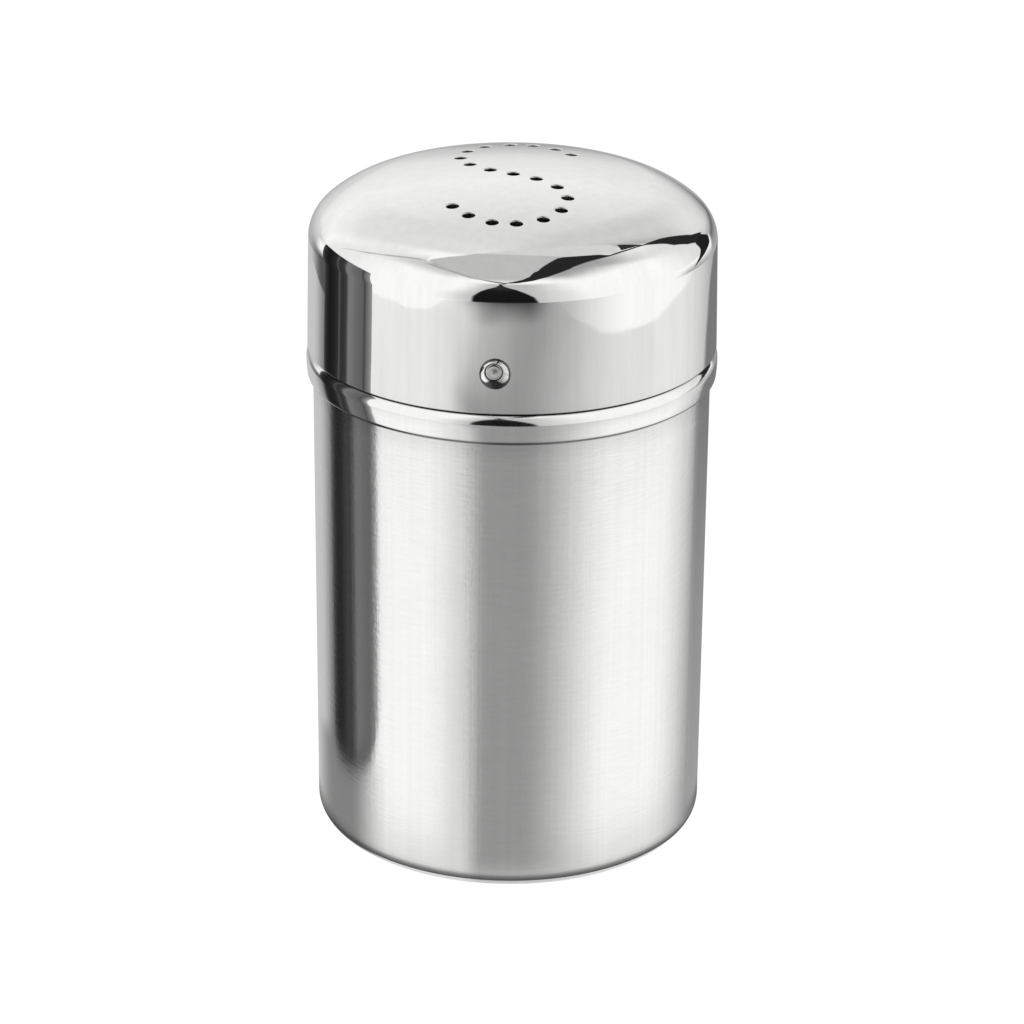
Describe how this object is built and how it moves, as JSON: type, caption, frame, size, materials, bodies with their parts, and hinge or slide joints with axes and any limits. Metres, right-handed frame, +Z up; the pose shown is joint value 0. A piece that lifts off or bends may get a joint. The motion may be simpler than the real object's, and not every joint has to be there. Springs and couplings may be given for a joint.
{
  "type": "spice shaker",
  "caption": "Stainless steel salt and spice shaker: a drawn cup with a bead, and a domed perforated lid held by bayonet pins in J-shaped slots.",
  "frame": {"origin": "centre of the foot, on the table", "axes": "+Z up along the shaker's axis, -Y towards the front bayonet pin, +X to its right"},
  "size_m": [0.0724, 0.0744, 0.1214],
  "materials": {
    "satin_steel": "stainless steel ground to a satin face, hairlines around the axis",
    "polished_steel": "stainless steel buffed to a mirror"
  },
  "bodies": {
    "cup": {"cup_shell": "satin_steel"},
    "lid": {"lid_shell": "polished_steel", "bayonet_pin_front": "polished_steel", "bayonet_pin_rear": "polished_steel"}
  },
  "joints": [
    {"name": "lid_lift", "type": "slide", "parent": "cup", "child": "lid", "axis": [0, 0, 1], "range_m": [0, 0.045]}
  ]
}
